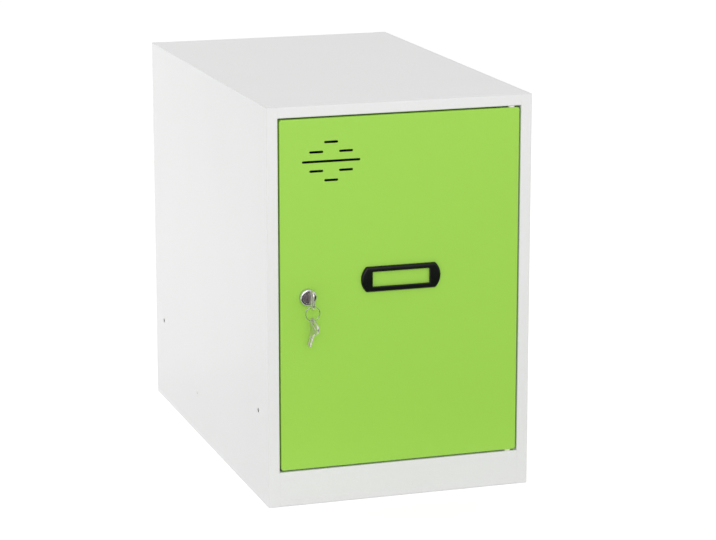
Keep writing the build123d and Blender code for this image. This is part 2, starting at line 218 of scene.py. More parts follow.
# %% [markdown]
# ## Powder coat
# The panels are sprayed with dry paint that melts in an oven and flows into a skin a tenth of a millimetre
# thick. It never flows quite flat: close up it has the soft dimples of orange peel, about a millimetre and a
# half apart. It draws back from sharp edges, where the coat is thinner and a little duller. A photograph of
# real paint would fix its grain to one size of panel, so the dimples are noise in real units instead. The
# white cabinet and the green door share the recipe and differ only in colour.

# %% Powder coat on the cabinet and the door
peel_size = 0.0016
peel_depth = 0.00012
speck_size = 0.0004
cloud_size = 0.12
thin_edge = 0.0007
coat_rounding = 0.0004


def powder_coat(slot, full, thin):
    """Finish in the colour of a full coat, which turns to that of a thin one at edges and in clouds."""
    tree = finish(slot)
    clouds = grain(tree, cloud_size, 1.0)
    specks = grain(tree, speck_size, 1.0)
    peel = grain(tree, peel_size, 1.5)
    edge = near_edge(tree, thin_edge)
    pale = masked(tree, clouds * 0.7 + specks * 0.3, 0.3, 0.7)
    surface(
        tree,
        base_color=blend(tree, pale * 0.5 + edge * 0.5, full, thin),
        roughness=0.34 + peel * 0.08 + edge * 0.1,
        normal=bumped(tree, peel + specks * 0.15, peel_depth, coat_rounding),
        ior=1.5,
    )


powder_coat("body_white", colour(0.80, 0.80, 0.798), colour(0.775, 0.775, 0.772))
powder_coat("door_green", colour(0.346, 0.668, 0.0695), colour(0.336, 0.652, 0.0675))

# %% [markdown]
# ## Plated and polished metal
# Metal has no body colour under its shine, so each metal here is one fully metallic shader, and they differ
# in tint, roughness and relief. Hinge plates, pins, nut, washers and cam are steel with a thin zinc plate: a
# soft shine with cloudy patches and a hint of straw and blue where the plate was sealed. Patches painted by
# hand would belong to one piece. Noise serves them all.

# %% Zinc-plated steel
patch_size = 0.006
streak_size = 0.0012
streak_way = (1, 0.12, 1)
rubbed_reach = 0.0006
metal_relief = 0.00002
metal_rounding = 0.0003
zinc_blue = colour(0.60, 0.62, 0.64)
zinc_straw = colour(0.66, 0.63, 0.55)
zinc_rubbed = colour(0.78, 0.78, 0.77)

tree = finish("plated_steel")
patches = grain(tree, patch_size, 3.0)
streaks = grain(tree, streak_size, 2.0, streak_way)
tint = blend(tree, masked(tree, patches, 0.42, 0.62), zinc_blue, zinc_straw)
surface(
    tree,
    base_color=blend(tree, near_edge(tree, rubbed_reach) * 0.5, tint, zinc_rubbed),
    metallic=1.0,
    roughness=0.26 + patches * 0.14 + streaks * 0.1,
    normal=bumped(tree, streaks, metal_relief, metal_rounding),
)

# %% [markdown]
# The lock's head is polished and chromed, so it is nearly a mirror. Fingers leave a thin film on it, and a
# cloth leaves fine upright wipes. The wipes only blur the mirror, so they go into its roughness. The film
# also takes a little of its brightness and has the faintest relief.

# %% Polished chrome on the lock's head
film_size = 0.004
film_relief = 0.00003
wipe_size = 0.0006
wipe_way = (1, 1, 0.2)
chrome_clean = colour(0.64, 0.63, 0.65)
chrome_filmed = colour(0.55, 0.54, 0.56)

tree = finish("lock_chrome")
film = grain(tree, film_size, 2.0)
wipes = grain(tree, wipe_size, 2.0, wipe_way)
surface(
    tree,
    base_color=blend(tree, masked(tree, film, 0.4, 0.7), chrome_clean, chrome_filmed),
    metallic=1.0,
    roughness=0.06 + film * 0.1 + wipes * 0.04,
    normal=bumped(tree, film, film_relief, metal_rounding),
)

# %% [markdown]
# The lock's core is turned on a lathe and keeps fine rings round its axis. Cut into the mesh, rings a third
# of a millimetre apart would take thousands of faces, so they are a sine wave in the distance from the axis.
# The axis is the middle of the plug's box: the wave follows the lock if the model is packed again with the
# lock somewhere else. Its colour is set well below bare nickel, as painted shade of the recess round the
# key.

# %% Turned nickel on the plug
plug_low, plug_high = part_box("lock_plug")
plug_axis = (plug_low + plug_high) / 2
ring_pitch = 0.00035
soil_size = 0.003
# Both colours are far darker than bare nickel: painted shade of the lock's core; the second adds soil in
# patches.
plug_painted_shade = colour(0.25, 0.23, 0.24)
plug_soil_and_painted_shade = colour(0.16, 0.14, 0.16)

tree = finish("plug_nickel")
here = tree.add("ShaderNodeTexCoord", out="Object")
from_axis = tree.add("ShaderNodeVectorMath", {"operation": "SUBTRACT"}, {0: here, 1: plug_axis})
flat = tree.add("ShaderNodeVectorMath", {"operation": "MULTIPLY"}, {0: from_axis, 1: (1, 0, 1)})
radius = tree.add("ShaderNodeVectorMath", {"operation": "LENGTH"}, {0: flat}, out="Value")
wave = tree.add("ShaderNodeMath", {"operation": "SINE"}, {0: radius * (2 * math.pi / ring_pitch)})
soil = grain(tree, soil_size, 3.0)
surface(
    tree,
    base_color=blend(tree, masked(tree, soil, 0.35, 0.65), plug_painted_shade, plug_soil_and_painted_shade),
    metallic=1.0,
    roughness=0.3 + wave * 0.05 + soil * 0.12,
    normal=bumped(tree, wave * 0.5 + soil, metal_relief),
)

# %% [markdown]
# The keys are stamped from brass strip and plated with nickel. Fine scratches run along them, and on edges
# that rub in a pocket the yellow metal starts to show. A mask of the edges alone would wear them all alike,
# so it is multiplied by a coarse noise, and the wear comes and goes.

# %% Nickel-plated brass keys
scratch_size = 0.0005
scratch_way = (1, 0.1, 0.6)
wear_reach = 0.0005
wear_size = 0.004
key_plated = colour(0.68, 0.64, 0.63)
key_brass = colour(0.72, 0.58, 0.38)

tree = finish("key_nickel")
scratches = grain(tree, scratch_size, 2.0, scratch_way)
worn = near_edge(tree, wear_reach) * masked(tree, grain(tree, wear_size, 2.0), 0.35, 0.6)
surface(
    tree,
    base_color=blend(tree, worn * 0.8, key_plated, key_brass),
    metallic=1.0,
    roughness=0.24 + scratches * 0.16,
    normal=bumped(tree, scratches, metal_relief, metal_rounding),
)

# %% [markdown]
# The key ring is spring wire, pulled through a die that leaves fine lines along it. A coordinate that runs
# round the ring would draw them exactly. Noise that is drawn out in the ring's plane gives nearly the same
# lines and needs no such coordinate.

# %% Drawn steel wire
line_size = 0.0003
line_way = (0.3, 1, 0.3)
line_relief = 0.00001
wire_dark = colour(0.30, 0.31, 0.29)
wire_pale = colour(0.42, 0.43, 0.40)

tree = finish("ring_steel")
lines = grain(tree, line_size, 2.0, line_way)
surface(
    tree,
    base_color=blend(tree, lines, wire_dark, wire_pale),
    metallic=1.0,
    roughness=0.18 + lines * 0.16,
    normal=bumped(tree, lines, line_relief),
)

# %% [markdown]
# ## Plastics and rubber
# The label holder is moulded in black plastic. Its mould was spark-eroded, which leaves a very fine matt
# grain, and handling polishes the edges. The grain swallows part of the shine that smooth plastic has. A
# lower specular level says that in one number for the whole piece, and its black stays deep in a pale room.

# %% Moulded black plastic
spark_size = 0.00035
spark_relief = 0.00003
rubbed_size = 0.012
rim_reach = 0.0008
holder_rounding = 0.0005
black_deep = colour(0.002, 0.003, 0.002)
black_rubbed = colour(0.010, 0.014, 0.009)

tree = finish("holder_black")
sparks = grain(tree, spark_size, 3.0)
rubbed = masked(tree, grain(tree, rubbed_size, 2.0), 0.4, 0.7)
rim = near_edge(tree, rim_reach)
surface(
    tree,
    base_color=blend(tree, rim * 0.5 + sparks * 0.2, black_deep, black_rubbed),
    roughness=0.28 - rubbed * 0.06 - rim * 0.06 + sparks * 0.06,
    normal=bumped(tree, sparks, spark_relief, holder_rounding),
    specular_ior_level=0.22,
)

# %% [markdown]
# The hinge bushes are natural nylon, creamy and waxy. Light goes a little way into it, and a shader can
# follow that, but nobody sees it on a flange a millimetre thick. Two creams in soft clouds with a dull shine
# are enough.

# %% Natural nylon
nylon_cloud = 0.002
nylon_relief = 0.00002
nylon_rounding = 0.0003

tree = finish("bush_nylon")
cloud = grain(tree, nylon_cloud, 2.0)
surface(
    tree,
    base_color=blend(tree, cloud, colour(0.80, 0.79, 0.73), colour(0.86, 0.85, 0.80)),
    roughness=0.42 + cloud * 0.1,
    normal=bumped(tree, cloud, nylon_relief, nylon_rounding),
    ior=1.53,
)

# %% [markdown]
# The buffers on the stop lip are soft rubber. It scatters light so widely that it hardly shines, and only a
# fine grain and some dust break up its surface. The dust comes from a second, coarser noise, cut off low, so
# that it lies in patches.

# %% Soft rubber
pore_size = 0.0003
pore_relief = 0.00003
dust_size = 0.002

tree = finish("rubber_grey")
pores = grain(tree, pore_size, 2.0)
dust = masked(tree, grain(tree, dust_size, 2.0), 0.5, 0.75)
surface(
    tree,
    base_color=blend(tree, dust * 0.4, colour(0.045, 0.045, 0.047), colour(0.12, 0.12, 0.12)),
    roughness=0.78 + pores * 0.12,
    normal=bumped(tree, pores, pore_relief),
    ior=1.45,
)

# %% [markdown]
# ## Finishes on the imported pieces
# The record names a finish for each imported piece. A list written here by hand could miss one, so the
# finishes are given out in a loop over the record. Pieces made below get theirs when they are made.

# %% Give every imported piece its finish
for part in frame["record"]["subparts"]:
    for material_slot in frame["nodes"][part["node"]].material_slots:
        material_slot.material = finishes[part["material_slot"]]

# %% [markdown]
# ## Pieces in mesh code
# Many small round things are the same idea: a ring of points, moved and joined to the next ring. One
# function takes the rings and makes the skin between them, closed at the ends or joined back to the start.
# It marks only real corners as sharp, so curves shade smoothly.

# %% A skin over rings of points
crisp = math.radians(35)


def skin(name, rings, body, slot, loop=False):
    """Piece made of quads between equal rings of points, riding on a body."""
    count = len(rings[0])
    points = [point for ring in rings for point in ring]
    faces = []
    for row in range(len(rings) if loop else len(rings) - 1):
        here, after = row * count, (row + 1) % len(rings) * count
        for step in range(count):
            beside = (step + 1) % count
            faces.append((here + step, here + beside, after + beside, after + step))
    if not loop:
        faces.append(tuple(reversed(range(count))))
        faces.append(tuple(range((len(rings) - 1) * count, len(rings) * count)))
    mesh = bpy.data.meshes.new(name)
    mesh.from_pydata(points, [], faces)
    shell = bmesh.new()
    shell.from_mesh(mesh)
    bmesh.ops.recalc_face_normals(shell, faces=shell.faces)
    shell.to_mesh(mesh)
    shell.free()
    mesh.shade_smooth()
    mesh.set_sharp_from_angle(angle=crisp)
    piece = bpy.data.objects.new(name, mesh)
    bpy.context.scene.collection.objects.link(piece)
    mesh.materials.append(finishes[slot])
    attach(piece, body)
    print(name, "has", len(faces), "faces")
    return piece


# %% [markdown]
# Pins, domes and weld marks are round, and most come once at the left and once at the right. A circle
# object could be copied for each, but rings of points go straight into the skin. So a helper gives a round
# ring, and a pair of hands names the two sides.

# %% Round rings, and the two hands
rightward, inward, upward = Vector((1, 0, 0)), Vector((0, 1, 0)), Vector((0, 0, 1))
hands = ((-1, "left"), (1, "right"))


def spread(first, last, steps):
    """Evenly spaced values from first to last, both included."""
    return [first + (last - first) * step / steps for step in range(steps + 1)]


def circle(middle, radius, beside, sides):
    """Upright ring of points round its middle, which starts on the side that beside points to."""
    turned = spread(0, 2 * math.pi, sides)[:-1]
    return [middle + (beside * math.cos(a) + upward * math.sin(a)) * radius for a in turned]


# %% [markdown]
# ## Thread on the lock's body
# The lock is clamped in the door by a nut on a fine thread, cut round a body that has two flats. Behind an
# open door that thread is what the eye finds first. A screw modifier would make the thread but not the
# flats, and a cut would need exact booleans. It is simpler to ask one question at each point of a turned
# shape: how far out does the metal go here? The answer is the thread's wave, or the flat, whichever comes
# first.

# %% Sizes of the lock housing
lock_low, lock_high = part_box("lock_housing")
lock_centre = (lock_low + lock_high) / 2
lock_depth = lock_high.y - lock_low.y
door_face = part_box("door_panel")[0].y
head_depth = door_face - lock_low.y
head_radius = (lock_high.x - lock_low.x) / 2
head_round = 0.0018
head_steps = 6
body_radius = 0.008
body_flat = 0.0069
bore_radius = 0.00553
seat_radius = 0.00633
seat_depth = 0.00183
seat_chamfer = 0.0003
thread_pitch = 0.00125
thread_depth = 0.00055
thread_steps = 6
around = 96
no_less = 1e-6
print("lock housing in mm:", round(lock_depth * 1000, 2), "deep, its head", round(head_depth * 1000, 2))

# %% [markdown]
# A die cuts the real thread, and the two flats are milled after it. A helix of small faces could follow the
# die's path. Seen from the axis, though, the thread is only a wave that climbs one pitch in a turn, and a
# flat is a straight line, so the smaller distance of the two is what the cutters leave.

# %% Distance from the lock's axis
def thread_radius(along, angle):
    """Distance from the axis to the threaded body's surface."""
    turn = (along / thread_pitch + angle / (2 * math.pi)) % 1
    wave = abs(2 * turn - 1)
    flat = body_flat / max(abs(math.sin(angle)), no_less)
    return min(body_radius - thread_depth * wave, flat)


def lock_ring(along, radius_at):
    """Ring of points round the lock's axis, at a distance behind the head's front."""
    ring = []
    for angle in spread(0, 2 * math.pi, around)[:-1]:
        radius = radius_at(angle)
        x = lock_centre.x + radius * math.cos(angle)
        z = lock_centre.z + radius * math.sin(angle)
        ring.append((x, lock_low.y + along, z))
    return ring


def round_ring(along, radius):
    """Ring of the same radius all round."""
    return lock_ring(along, lambda angle: radius)


# %% [markdown]
# The housing is one casting: a round head with a seat for the plug, and the threaded body behind it. Head
# and body could be two skins, but a seam would show behind the head. One profile runs from the bore over the
# seat and the head and down the thread, and joins itself again in the bore.

# %% Lock housing with its thread
profile = [(seat_depth, bore_radius), (seat_depth, seat_radius)]
profile += [(seat_chamfer, seat_radius), (0, seat_radius + seat_chamfer)]
for lean in spread(0, math.pi / 2, head_steps):
    inset = head_round * (1 - math.sin(lean))
    profile.append((head_round * (1 - math.cos(lean)), head_radius - inset))
profile.append((head_depth, head_radius))
rings = [round_ring(along, radius) for along, radius in profile]
thread_rows = round((lock_depth - head_depth) / thread_pitch * thread_steps)
for along in spread(head_depth, lock_depth, thread_rows):
    fade = min(1, (lock_depth - along) / thread_pitch)
    rings.append(lock_ring(along, lambda angle: thread_radius(along, angle) - (1 - fade) * thread_depth / 2))
rings.append(round_ring(lock_depth, bore_radius))
housing = skin("lock_housing_threaded", rings, "door", "lock_chrome", loop=True)
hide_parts("lock_housing")

# %% [markdown]
# ## Label holder
# The holder is one moulding with a pillow section. It stands a millimetre proud of the door on a straight
# wall, rounds over in a wide soft shoulder, lies flat round the window and drops to it over a small bevel. A
# bevel modifier on a plain frame would round every edge alike, so the section is drawn as rings instead:
# each ring is the outline grown by some amount at some height. The last rings go round the window and the
# card's pocket, and the skin joins them back to the first.

# %% Sizes of the label holder
label_low, label_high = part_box("label_frame")
label_centre = (label_low + label_high) / 2
label_half = (label_high.x - label_low.x) / 2
label_tall = (label_high.z - label_low.z) / 2
label_rise = door_face - label_low.y
wall_rise = 0.0011
shoulder = 0.0026
shoulder_steps = 8
end_bulge = 0.006
end_steps = 24
corner_steps = 8
window_half = Vector((0.0325, 0, 0.00825))
window_corner = 0.0006
window_bevel = 0.0008
bevel_first = math.pi / 6
bevel_steps = 3
card_margin = 0.002
card_depth = 0.0009
end_radius = (label_tall ** 2 + end_bulge ** 2) / (2 * end_bulge)
end_middle = label_half - end_radius
flat_z = label_tall - shoulder
end_lean = math.asin(flat_z / (end_radius - shoulder))
flat_x = end_middle + (end_radius - shoulder) * math.cos(end_lean)
print("label holder's ends in mm: an arc of radius", round(end_radius * 1000, 1))

# %% [markdown]
# The holder has straight long sides, round corners and ends that bulge a little, and its window is a
# rectangle with small corners. Both outlines could be curves, but the skin needs equal rings. So both are
# counted out in the same steps, whatever they are grown by.

# %% Outlines of the holder and its window
def mirrored(right, height):
    """Ring on the door from the points of its right half, listed from the top down."""
    left = [(-x, z) for x, z in reversed(right)]
    return [Vector((label_centre.x + x, door_face - height, label_centre.z + z)) for x, z in right + left]


def holder_ring(grow, height):
    """Outline of the holder's flat front, grown by an amount: straight top, round corner, bulging end."""
    turned = spread(math.pi / 2, end_lean, corner_steps)
    corner = [(flat_x + grow * math.cos(a), flat_z + grow * math.sin(a)) for a in turned]
    reach = end_radius - shoulder + grow
    ends = spread(end_lean, -end_lean, end_steps)
    bulge = [(end_middle + reach * math.cos(a), reach * math.sin(a)) for a in ends]
    return mirrored(corner + bulge[1:-1] + [(x, -z) for x, z in reversed(corner)], height)


def window_ring(grow, height):
    """Outline of the window, grown by an amount."""
    middle_x, middle_z = window_half.x - window_corner, window_half.z - window_corner
    reach = window_corner + grow
    turned = spread(math.pi / 2, 0, corner_steps)
    corner = [(middle_x + reach * math.cos(a), middle_z + reach * math.sin(a)) for a in turned]
    side = [(middle_x + reach, z) for z in spread(middle_z, -middle_z, end_steps)]
    return mirrored(corner + side[1:-1] + [(x, -z) for x, z in reversed(corner)], height)


# %% [markdown]
# Now the section is walked once: up the wall from the door, over the shoulder, in to the window, down its
# bevel and back under the rim, where the card slides in. One section swept along a path would pinch at the
# corners. Whole rings can't, because each is a finished outline.

# %% Moulded label holder
rings = [holder_ring(shoulder, 0)]
for lean in spread(0, math.pi / 2, shoulder_steps):
    height = wall_rise + (label_rise - wall_rise) * math.sin(lean)
    rings.append(holder_ring(shoulder * math.cos(lean), height))
rings.append(window_ring(window_bevel, label_rise))
for lean in spread(bevel_first, math.pi / 2, bevel_steps):
    drop = window_bevel * math.sin(lean)
    rings.append(window_ring(window_bevel * (1 - math.sin(lean)), label_rise - drop))
rings.append(window_ring(0, card_depth))
rings.append(window_ring(card_margin, card_depth))
rings.append(window_ring(card_margin, 0))
holder = skin("label_holder_moulded", rings, "door", "holder_black", loop=True)
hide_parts("label_frame")

# %% [markdown]
# Two pins on the holder's back go through the door and end in push nuts behind it. Each is a round bar with
# a chamfer at its point. Three rings make that, with no need for a bevel.

# %% Pins behind the label holder
pin_radius = 0.002
pin_from_end = 0.0066
pin_point = 0.0006
pin_sides = 32
pin_end = label_high.y
pin_profile = ((door_face, pin_radius), (pin_end - pin_point, pin_radius), (pin_end, pin_radius - pin_point))
for side, hand in hands:
    pin_x = label_centre.x + side * (label_half - pin_from_end)
    rings = []
    for y, radius in pin_profile:
        rings.append(circle(Vector((pin_x, y, label_centre.z)), radius, rightward, pin_sides))
    skin(f"label_pin_{hand}", rings, "door", "holder_black")

# %% [markdown]
# ## Split ring
# A key ring is two turns of flattened spring wire, side by side, with the ends opposite each other so that a
# key can be worked round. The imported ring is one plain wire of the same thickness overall. Here an oval
# section runs twice round the ring and changes side over a short stretch, which is how the real one is
# coiled.

# %% Split key ring
ring_low, ring_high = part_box("key_ring")
ring_centre = (ring_low + ring_high) / 2
wire_radius = (ring_high.y - ring_low.y) / 2
wire_flat = 0.6
ring_radius = (ring_high.x - ring_low.x) / 2 - wire_radius
coil_start = math.radians(60)
turn_steps = 72
wire_sides = 12
crossing = 0.10


def side_of_turn(turn):
    """From -1 in the first turn to 1 in the second, changing over smoothly at the crossing."""
    part = min(max((turn - 1 + crossing / 2) / crossing, 0), 1)
    return (3 * part ** 2 - 2 * part ** 3) * 2 - 1


rings = []
for step in range(1, 2 * turn_steps - 1):
    turn = step / turn_steps
    angle = coil_start + 2 * math.pi * turn
    outward = Vector((math.cos(angle), 0, math.sin(angle)))
    middle = ring_centre + outward * ring_radius + inward * (side_of_turn(turn) * wire_radius / 2)
    section = []
    for lean in spread(0, 2 * math.pi, wire_sides)[:-1]:
        across = outward * (math.cos(lean) * wire_radius * wire_flat)
        section.append(middle + across + inward * (math.sin(lean) * wire_radius / 2))
    rings.append(section)
split_ring = skin("split_ring", rings, "ring", "ring_steel")
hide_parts("key_ring")

# %% [markdown]
# ## Keys
# A flat key is blanked from brass strip. The bow is a plate with a slot, its edges tumbled soft in a drum,
# so its section is drawn as rings that go over a small bevel, across the face and down into the slot. The
# blade is the same strip with a groove milled along each side and a notch for each pin of the lock. It is
# made the way it is cut: one section after another, each as wide as the notches leave it.

# %% Sizes of a key's bow
key_half = 0.001
key_bevel = 0.0003
bow_length = 0.0125
bow_half = 0.0105
bow_corner = 0.0055
slot_half = 0.0075
slot_radius = 0.0017
slot_from_end = 0.0044
neck_half = 0.0042
neck_round = 0.002
side_steps = 6
top_steps = 2
round_steps = 4
neck_steps = 3
slot_steps = 2 * corner_steps + top_steps + round_steps + 2 * neck_steps - side_steps
bow_end = ring_centre.y - slot_from_end
neck_end = plug_low.y - bow_end
print("key in mm: bow", round(bow_length * 1000, 1), "long, blade starts at", round(neck_end * 1000, 2))

# %% [markdown]
# A key's outline is a chain of straight runs and arcs, as on its drawing. It could be typed in point by
# point, but then no bevel could grow or shrink it. Runs with a number of steps can be grown, and they keep
# their count of points.

# %% Runs of points, and the ring that they make
def arc(middle, reach, first, last, steps):
    """Points on a circle's arc from one angle to another."""
    turned = spread(first, last, steps)
    return [(middle[0] + reach * math.cos(a), middle[1] + reach * math.sin(a)) for a in turned]


def line(first, last, steps):
    """Points on a straight run."""
    return list(zip(spread(first[0], last[0], steps), spread(first[1], last[1], steps)))


def key_ring_at(depth, *runs):
    """Ring at a depth in the strip: runs in a chain from axis to axis, and their mirror image."""
    half = list(runs[0])
    for run in runs[1:]:
        half += run[1:]
    whole = half + [(along, -across) for along, across in reversed(half[1:-1])]
    return [Vector((depth, along, across)) for along, across in whole]


# %% [markdown]
# The bow's outline goes from its end round two corners into the neck, and the slot's goes round the hole for
# the ring. The slot could be cut with a boolean, but its edge would stay sharp. As rings of one skin, hole
# and outside get the same small bevel.

# %% Bow of a key
def bow_ring(grow, depth):
    """Outline of bow and neck, grown by an amount."""
    corner = bow_corner + grow
    top = bow_half - bow_corner
    far = bow_length - bow_corner
    join = neck_round - grow
    lean = math.asin((neck_half + neck_round - top) / (corner + join))
    joined = far + (corner + join) * math.cos(lean)
    return key_ring_at(
        depth,
        line((-grow, 0), (-grow, top), side_steps),
        arc((bow_corner, top), corner, math.pi, math.pi / 2, corner_steps),
        line((bow_corner, bow_half + grow), (far, bow_half + grow), top_steps),
        arc((far, top), corner, math.pi / 2, lean, corner_steps),
        arc((joined, neck_half + neck_round), join, math.pi + lean, 1.5 * math.pi, round_steps),
        line((joined, neck_half + grow), (neck_end, neck_half + grow), neck_steps),
        line((neck_end, neck_half + grow), (neck_end, 0), neck_steps),
    )


def slot_ring(grow, depth):
    """Outline of the slot, grown by an amount, with as many points as the bow's."""
    middle = slot_half - slot_radius
    reach = slot_radius + grow
    return key_ring_at(
        depth,
        line((slot_from_end - reach, 0), (slot_from_end - reach, middle), side_steps),
        arc((slot_from_end, middle), reach, math.pi, 0, slot_steps),
        line((slot_from_end + reach, middle), (slot_from_end + reach, 0), side_steps),
    )


bow_rings = [bow_ring(0, -key_half + key_bevel), bow_ring(0, key_half - key_bevel)]
bow_rings += [bow_ring(-key_bevel, key_half), slot_ring(key_bevel, key_half)]
bow_rings += [slot_ring(0, key_half - key_bevel), slot_ring(0, -key_half + key_bevel)]
bow_rings += [slot_ring(key_bevel, -key_half), bow_ring(-key_bevel, -key_half)]
print("bow rings:", len(bow_rings), "of", len(bow_rings[0]), "points")

# %% [markdown]
# The blade's half width is its full one less the notch that lies there. A notch has a flat bottom and slopes
# of one in one, because it is cut by a wheel with a trapezium edge. The point is a slope of the same kind.

# %% Blade of a key
blade_half = 0.004
blade_length = 0.016
blade_tip = 0.0026
groove_half = 0.0009
groove_floor = 0.00055
notch_first = 0.003
notch_pitch = 0.0031
notch_flat = 0.0006
notch_depths = (0.0013, 0.0007, 0.0015, 0.0009)
blade_stations = 80


def blade_width(along):
    """Half the blade's width at a distance from its shoulder."""
    deepest = 0
    for index, depth in enumerate(notch_depths):
        beside = abs(along - notch_first - index * notch_pitch) - notch_flat
        deepest = max(deepest, depth - max(beside, 0))
    return min(blade_half - deepest, blade_length - along + blade_half - blade_tip)


def blade_section(along):
    """Section of the blade: the strip with a groove in each face and bevelled edges."""
    wide = blade_width(along)
    edge = [(key_half - key_bevel, wide), (key_half, wide - key_bevel)]
    quarter = edge + [(key_half, groove_half), (groove_floor, groove_half)]
    right = quarter + [(depth, -across) for depth, across in reversed(quarter)]
    whole = right + [(-depth, across) for depth, across in reversed(right)]
    return [Vector((depth, neck_end + along, across)) for depth, across in whole]


blade_rings = [blade_section(along) for along in spread(0, blade_length, blade_stations)]
neck_length = neck_end - bow_length
print("blade in mm:", round(blade_length * 1000, 1), "after a neck of", round(neck_length * 1000, 2))

# %% [markdown]
# One key is in the lock. The other hangs on the ring by one end of its slot, so it tilts until its weight is
# below the ring, and it has turned a little on the wire. Both are drawn lying along the lock's axis, and a
# function for each puts the points where they belong.

# %% Both keys
spare_lean = math.radians(28)
spare_twist = math.radians(8)
wire_gap = 0.0003
hook = Vector((0, slot_from_end - slot_radius + wire_gap + wire_radius, slot_half - slot_radius))
hang_point = Vector((ring_centre.x, ring_centre.y, ring_low.z + wire_radius))
tilt = Matrix.Rotation(spare_twist, 3, "Z") @ Matrix.Rotation(spare_lean - math.pi / 2, 3, "X")


def in_lock(point):
    return Vector((plug_axis.x, bow_end, plug_axis.z)) + point


def on_ring(point):
    return hang_point + tilt @ (point - hook)


for node, body, put in (("key", "inserted_key", in_lock), ("spare_key", "hanging_key", on_ring)):
    bow_placed = [[put(point) for point in ring] for ring in bow_rings]
    blade_placed = [[put(point) for point in ring] for ring in blade_rings]
    bow = skin(f"{node}_bow", bow_placed, body, "key_nickel", loop=True)
    skin(f"{node}_blade", blade_placed, body, "key_nickel")
    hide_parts(node)

# %% [markdown]
# ## Rubber buffers
# The buffers are small self-adhesive domes, not flat discs. A flattened ball would do, but it has poles and
# crowded faces. Here a dome is a quarter round turned round its axis, as rings that rise and draw in.

# %% A low dome
def dome(foot, radius, height, outward, beside, sides, rows):
    """Rings of a low dome that rises from its foot along outward; beside is level and square to that."""
    rings = []
    for lean in spread(0, math.pi / 2, rows)[:-1]:
        middle = foot + outward * (height * math.sin(lean))
        rings.append(circle(middle, radius * math.sqrt(math.cos(lean)), beside, sides))
    return rings


# %% [markdown]
# Two buffers are stuck on the lip that the door closes against, one high and one low. Their places could be
# typed in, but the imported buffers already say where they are. The box round both gives the radius, the
# height and the two middles.

# %% Domed buffers on the stop lip
buffer_low, buffer_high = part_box("stop_buffers")
buffer_radius = (buffer_high.x - buffer_low.x) / 2
buffer_height = buffer_high.y - buffer_low.y
buffer_x = (buffer_high.x + buffer_low.x) / 2
buffer_sides = 32
buffer_rows = 7
for number, z in enumerate((buffer_low.z + buffer_radius, buffer_high.z - buffer_radius), 1):
    foot = Vector((buffer_x, buffer_high.y, z))
    rings = dome(foot, buffer_radius, buffer_height, -inward, rightward, buffer_sides, buffer_rows)
    skin(f"rubber_buffer_{number}", rings, "cabinet", "rubber_grey")
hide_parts("stop_buffers")

# %% [markdown]
# ## Rivets in the sides
# Low in each side there is one more small grey dot, between the two joining holes. It is taken as the head
# of a blind rivet that holds the floor panel: a steel button half a millimetre proud of the sheet. It is a
# dome like the buffers, turned to stand on the side.

# %% Rivet heads
rivet_radius = 0.0019
rivet_rise = 0.0005
rivet_from_front = 0.302
rivet_height = 0.050
rivet_sides = 24
rivet_rows = 6
side_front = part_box("left_side_panel")[0].y
for (side, hand), face in zip(hands, (cad_box[0][0], cad_box[1][0])):
    foot = Vector((face, side_front + rivet_from_front, rivet_height))
    rings = dome(foot, rivet_radius, rivet_rise, rightward * side, inward, rivet_sides, rivet_rows)
    skin(f"side_rivet_{hand}", rings, "cabinet", "plated_steel")

# %% [markdown]
# ## Weld marks
# The panels are joined by spot welds: two copper tips pinch the sheets and leave a shallow dish about five
# millimetres wide. Paint fills them, but they still show on the back flanges and on the feet of the door's
# stiffener. A bump in the paint's shader could draw them, but then they would be missing from the mesh. Each
# is a low ring with a sunken middle, a tenth of a millimetre high.

# %% Rows of spot weld marks
weld_radius = 0.0026
weld_rise = 0.00012
weld_profile = ((1.0, 0.0), (0.85, 0.6), (0.7, 1.0), (0.5, 0.75), (0.25, 0.3), (0.06, 0.2))
weld_sides = 24


def weld_row(name, from_middle, face_y, heights, body, slot):
    """Upright row of shallow dishes at the left and at the right, on surfaces that face the back."""
    for side, hand in hands:
        for number, z in enumerate(heights, 1):
            rings = []
            for wide, high in weld_profile:
                middle = Vector((side * from_middle, face_y + high * weld_rise, z))
                rings.append(circle(middle, wide * weld_radius, rightward, weld_sides))
            skin(f"{name}_{hand}_{number}", rings, body, slot)


# %% [markdown]
# A welder sets the marks at even steps along a flange: seven on each back flange, six on each foot of the
# stiffener. An array modifier could repeat one mark. A list of heights makes each a piece with its own name
# instead.

# %% Spot welds on the back and inside the door
side_low, side_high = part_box("left_side_panel")
flange_inset = 0.0085
back_first = 0.060
back_apart = 0.056
back_count = 7
back_heights = [back_first + step * back_apart for step in range(back_count)]
weld_row("weld_back", -side_low.x - flange_inset, side_high.y, back_heights, "cabinet", "body_white")

stiffener_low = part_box("door_stiffener")[0]
stiffener_sheet = 0.0008
foot_from_middle = 0.0242
foot_first = 0.02
foot_apart = 0.06
foot_count = 6
foot_face = stiffener_low.y + stiffener_sheet
foot_heights = [stiffener_low.z + foot_first + step * foot_apart for step in range(foot_count)]
weld_row("weld_door", foot_from_middle, foot_face, foot_heights, "door", "door_green")

# %% [markdown]
# ## Studio
# A product picture of a pale object on white is mostly soft light from all round. The world gives most of it
# here, and the lamps below only make one side a little brighter than the next. The floor and the world look
# white to the camera and in reflections, but they give off no more light for that, so the floor keeps the
# locker's shadow and the paint keeps its colour.

# %% World
ambient = 0.72
white = colour(1, 1, 1)


def seen(tree):
    """1 for what the camera sees, straight, reflected or through glass, and 0 for light on surfaces."""
    ways = ("Is Camera Ray", "Is Glossy Ray", "Is Transmission Ray")
    camera, glossy, through = [tree.add("ShaderNodeLightPath", out=way) for way in ways]
    total = camera + glossy + through
    return tree.add("ShaderNodeMath", {"operation": "MINIMUM"}, {0: total, 1: 1.0})


